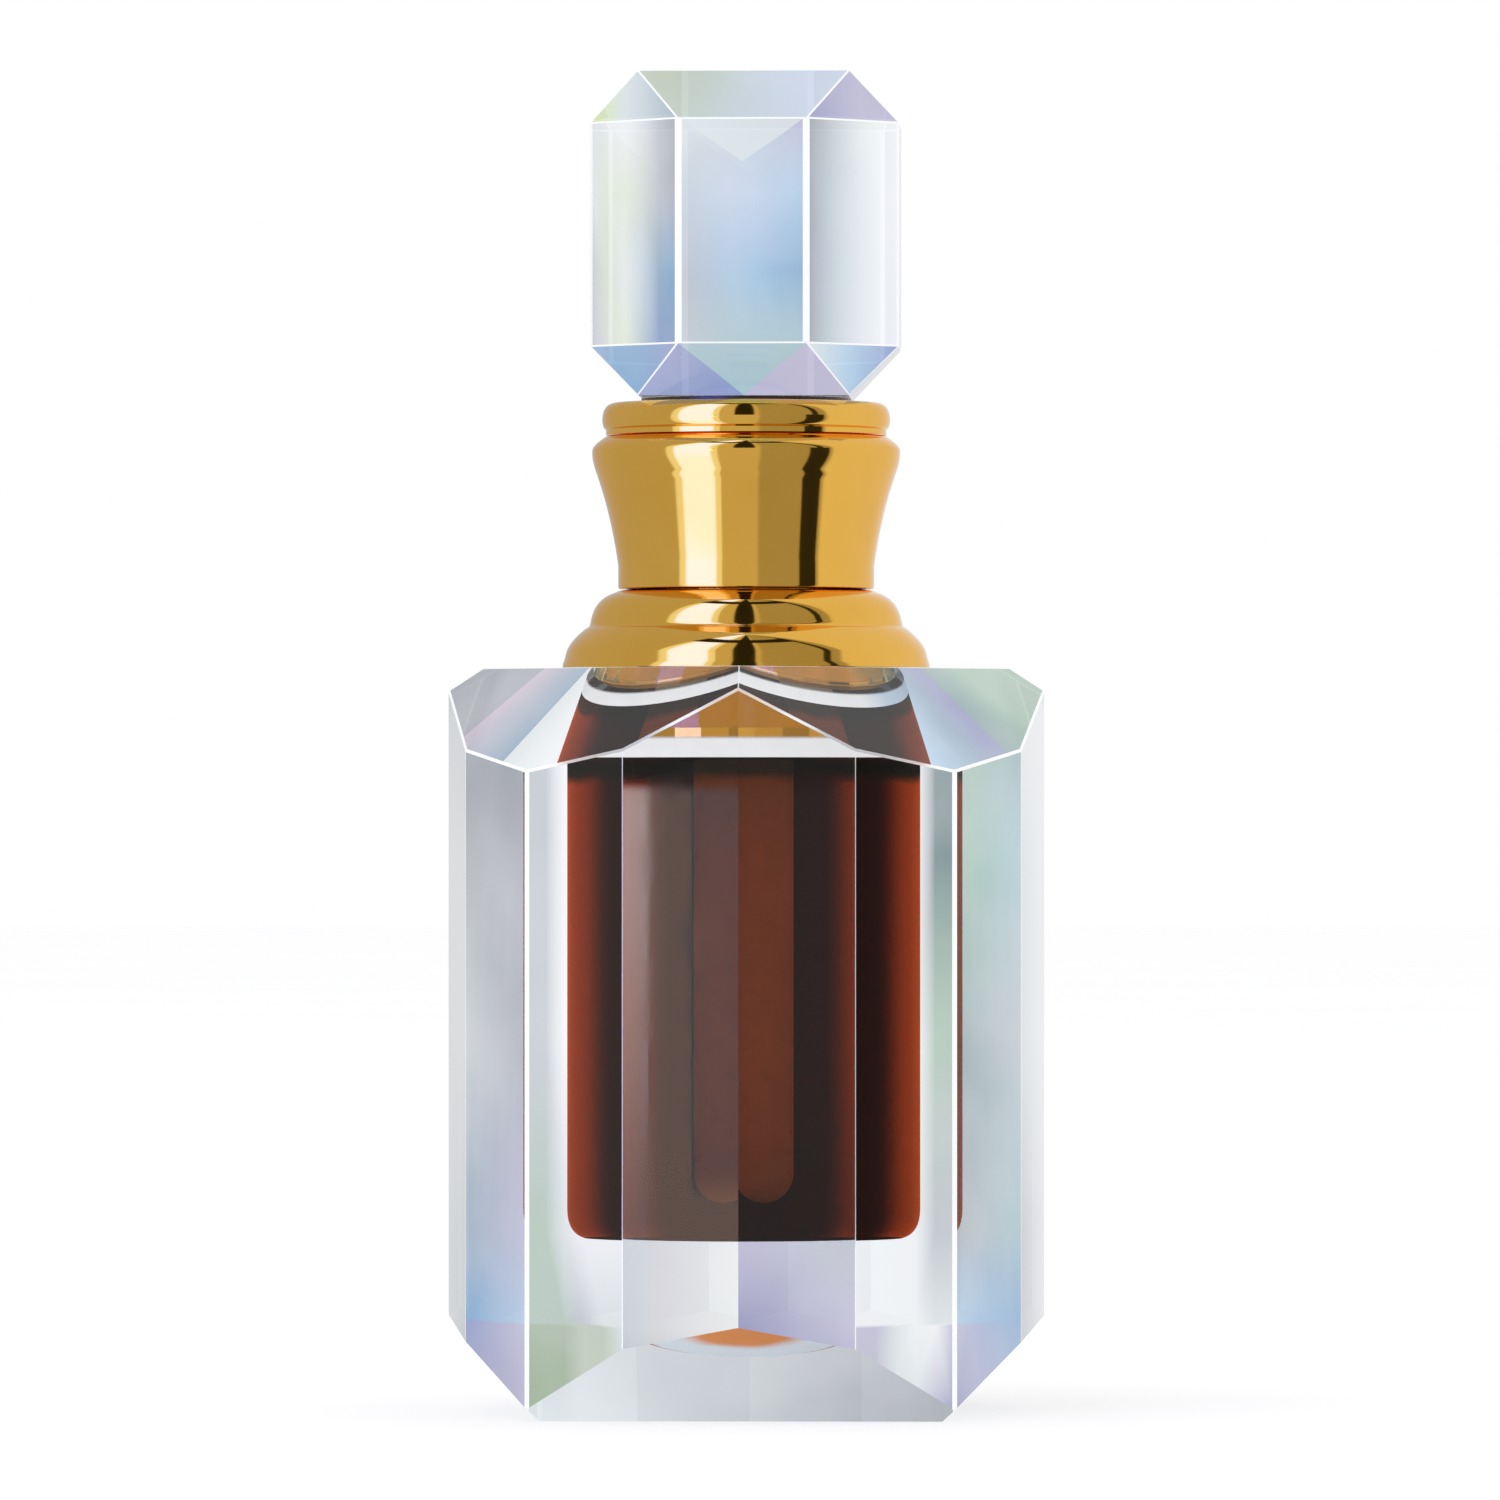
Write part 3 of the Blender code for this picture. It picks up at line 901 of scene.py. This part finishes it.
def make_floor():
    """White paper, which the crystal and the gold don't mirror."""
    bpy.ops.mesh.primitive_plane_add(size=FLOOR_SIZE, location=(0.0, 0.0, 0.0))
    floor = bpy.context.object
    floor.name = "floor"
    material, g = new_material("floor_paper")
    shader = g.node("ShaderNodeBsdfPrincipled")
    tone = g.mix(g.noise(g.place(), 8.0), (0.90, 0.90, 0.91, 1.0), grey(0.92))
    g.link(tone, shader.inputs["Base Color"])
    shader.inputs["Roughness"].default_value = 0.9
    shader.inputs["Specular IOR Level"].default_value = 0.1
    finish_material(g, shader.outputs[0])
    floor.data.materials.append(material)
    floor.visible_glossy = False
    floor.visible_transmission = False


# Azimuths of the studio's lights and flags in degrees: 0 is the camera's side, and they
# grow to its right. Rises are degrees over the horizon.
FRONT_WALL = grey(0.41)
RIGHT_WALL = grey(0.82)
MIDDLE_WALL = grey(0.62)
LEFT_WALL = grey(0.53)
BOX = (-61.0, -21.0)
BOX_CORE = (-53.0, -27.0)
BOX_COLOUR = (0.95, 1.15, 1.9, 1.0)
CORE_LOW_COLOUR = (1.3, 1.72, 6.3, 1.0)
CORE_COLOUR = (1.3, 1.75, 8.0, 1.0)
LEFT_PANE = (-25.5, -22.5)
RIGHT_PANE = (19.5, 22.0)
PANE_RISE = (-3.2, 0.7)
PANE_COLOUR = (2.5, 1.8, 1.55, 1.0)
PANE_COOL = (0.3, 1.0, 1.25, 1.0)
PANE_PLAIN = grey(0.4)
PANE_TOP = grey(0.3)
# Where the pane's rim, its cool corner and its dark top begin and are whole
RIM_EDGE = (-24.463, -24.475)
COOL_EDGE = (-24.27, -24.25)
COOL_RISE = (-1.93, -1.78)
TOP_RISE = (0.03, 0.07)
FLAG_BLACK = grey(0.03)
SLIT_BLACK = grey(0.02)
LOW_FLAG = (51.0, 66.0)
HIGH_FLAG = (57.0, 61.0)
SLIT = (-7.0, 7.0)
BEAM = (-60.0, 60.0)
BEAM_RISE = (66.0, 74.0)


def soft_boxes(g, turn, rise):
    """Grey walls, lightest far on the right, and a bright cool soft box on the left."""
    gloss = g.mix(g.step(turn, 67.0, 72.0), FRONT_WALL, RIGHT_WALL)
    gloss = g.mix(g.step(turn, 14.0, 10.0), gloss, MIDDLE_WALL)
    gloss = g.mix(g.band(turn, *BOX, 1.5), gloss, BOX_COLOUR)
    core = g.mix(g.step(rise, -20.0, -10.0), CORE_LOW_COLOUR, CORE_COLOUR)
    gloss = g.mix(g.band(turn, *BOX_CORE, 3.0), gloss, core)
    return g.mix(g.step(turn, -59.0, -64.0), gloss, LEFT_WALL)


def low_panes(g, turn, rise, gloss):
    """Two panes low in the studio, dark along their tops.

    The left one is brighter on its outer rim and cool on its inner one. The right is plain.
    """
    rim = g.mix(g.step(rise, -2.3, 0.2), grey(2.0), grey(6.0))
    pane = g.mix(g.step(turn, *RIM_EDGE), PANE_COLOUR, rim)
    cool = g.math("MULTIPLY", g.step(turn, *COOL_EDGE), g.step(rise, *COOL_RISE))
    pane = g.mix(cool, pane, PANE_COOL)
    pane = g.mix(g.step(turn, -5.0, 5.0), pane, PANE_PLAIN)
    pane = g.mix(g.step(rise, *TOP_RISE), pane, PANE_TOP)
    sides = g.math("ADD", g.band(turn, *LEFT_PANE, 0.3), g.band(turn, *RIGHT_PANE, 0.3))
    low = g.math("MULTIPLY", sides, g.band(rise, *PANE_RISE, 0.3))
    return g.mix(low, gloss, pane)


def dark_flags(g, turn, rise, gloss):
    """A flag on the right, a slit in front and a beam overhead, which draw dark streaks."""
    flag = g.mix(g.step(rise, 6.0, 9.0), g.band(turn, *LOW_FLAG, 1.5), g.band(turn, *HIGH_FLAG, 1.5))
    gloss = g.mix(flag, gloss, FLAG_BLACK)
    slit = g.math("MULTIPLY", g.band(turn, *SLIT, 2.0), g.step(rise, 3.0, 6.0))
    gloss = g.mix(slit, gloss, SLIT_BLACK)
    beam = g.math("MULTIPLY", g.band(turn, *BEAM, 6.0), g.band(rise, *BEAM_RISE, 2.0))
    return g.mix(beam, gloss, SLIT_BLACK)


def pale_tints(g, turn):
    """What glass shows behind itself: greyer in front and at the sides, white at the back."""
    aside = g.math("ABSOLUTE", turn)
    through = g.mix(g.step(aside, 60.0, 120.0), grey(0.84), grey(0.90))
    return g.mix(g.step(aside, 130.0, 160.0), through, grey(1.04))


def make_world():
    """A white studio: soft boxes and dark flags for gloss, pale tints behind glass."""
    world = bpy.data.worlds.new("studio")
    bpy.context.scene.world = world
    world.use_nodes = True
    g = Graph(world.node_tree)
    x, y, z = g.axes(g.node("ShaderNodeTexCoord").outputs["Generated"])
    to_degrees = 180 / math.pi
    turn = g.math("MULTIPLY", g.math("ARCTAN2", x, g.math("MULTIPLY", y, -1.0)), to_degrees)
    rise = g.math("MULTIPLY", g.math("ARCSINE", z), to_degrees)

    gloss = soft_boxes(g, turn, rise)
    gloss = low_panes(g, turn, rise, gloss)
    gloss = dark_flags(g, turn, rise, gloss)

    path = g.node("ShaderNodeLightPath")
    seen = g.mix(path.outputs["Is Glossy Ray"], grey(1.1), gloss)
    seen = g.mix(path.outputs["Is Transmission Ray"], seen, pale_tints(g, turn))
    seen = g.mix(path.outputs["Is Camera Ray"], seen, WHITE)
    light = g.node("ShaderNodeBackground")
    g.link(seen, light.inputs[0])
    output = g.node("ShaderNodeOutputWorld")
    g.link(light.outputs[0], output.inputs[0])


LAMP_SIZE = 1.0
LAMP_POWER = 2.0
LAMP_PLACE = (-0.5, -0.5, 0.8)
LAMP_AIM = Vector((0, 0, 0.03))


def make_key_light():
    """A soft lamp at the upper left, which throws the faint shadow and isn't mirrored."""
    lamp = bpy.data.lights.new("key", "AREA")
    lamp.shape = "RECTANGLE"
    lamp.size = LAMP_SIZE
    lamp.size_y = LAMP_SIZE
    lamp.energy = LAMP_POWER
    key = bpy.data.objects.new("key", lamp)
    bpy.context.scene.collection.objects.link(key)
    key.location = LAMP_PLACE
    key.rotation_euler = (LAMP_AIM - key.location).to_track_quat("-Z", "Y").to_euler()
    key.visible_glossy = False
    key.visible_transmission = False
    key.visible_camera = False


CAMERA_DISTANCE = 0.80
CAMERA_RISE = 40.8 * MM
CAMERA_TURN = math.radians(1.5)
CAMERA_AIM = Vector((0.25 * MM, 0.0, 44.07 * MM))
VIEW_WIDTH = 0.1
SENSOR_WIDTH = 36.0


def make_camera():
    data = bpy.data.cameras.new("camera")
    data.sensor_width = SENSOR_WIDTH
    data.lens = SENSOR_WIDTH * CAMERA_DISTANCE / VIEW_WIDTH
    data.clip_start = 0.05
    camera = bpy.data.objects.new("camera", data)
    bpy.context.scene.collection.objects.link(camera)
    camera.location = (
        CAMERA_DISTANCE * math.sin(CAMERA_TURN),
        -CAMERA_DISTANCE * math.cos(CAMERA_TURN),
        CAMERA_RISE,
    )
    camera.rotation_euler = (CAMERA_AIM - camera.location).to_track_quat("-Z", "Y").to_euler()
    bpy.context.scene.camera = camera


def main():
    scene = bpy.context.scene
    scene.view_settings.view_transform = "Standard"
    scene.cycles.max_bounces = 24
    scene.cycles.transmission_bounces = 20
    scene.cycles.glossy_bounces = 12
    scene.cycles.transparent_max_bounces = 24

    crystal = crystal_material("crystal_coat_and_refraction")
    edge = edge_material()
    gold = gold_material("gold_plate")
    white = plastic_material("moulded_white", (0.78, 0.78, 0.75), (0.86, 0.86, 0.84), 0.4)
    cement = plastic_material("amber_cement", (0.77, 0.69, 0.21), (0.82, 0.74, 0.27), 0.08, 1.0)
    foam = plastic_material("foam_wad", (0.70, 0.70, 0.67), (0.80, 0.80, 0.77), 0.7)
    # Painted light: the rod's glow is an emission, though it is no lamp, so that it shows in the dark
    # oil.
    milky_glowing = plastic_material("milky_rod_painted_glow", (0.60, 0.57, 0.52), (0.68, 0.65, 0.60), 0.3, glow=0.24)
    # Near black: the cement's bed also paints the shade in the gap under the knob.
    bed = plastic_material("cement_bed_painted_shade", (0.025, 0.012, 0.006), (0.05, 0.022, 0.010), 0.3)

    make_crystal_body(crystal, edge, wet_wall_material(), dry_wall_material())
    make_oil(oil_wall_material(), oil_top_material(), oil_foot_material())
    make_rod(milky_glowing)
    make_gold_ring(gold)
    make_gold_cap(gold)
    make_gold_collar(gold)
    make_knob(crystal, edge)
    make_bed(bed)
    dress("neck_insert", gold_material("gold_insert", 1.0))
    for node in ("rod_wiper", "rod_holder", "cap_liner", "crystal_seat"):
        dress(node, white)
    for node in ("neck_cement", "collar_gasket"):
        dress(node, cement)
    dress("cap_gasket", foam)

    make_floor()
    make_world()
    make_key_light()
    make_camera()


main()
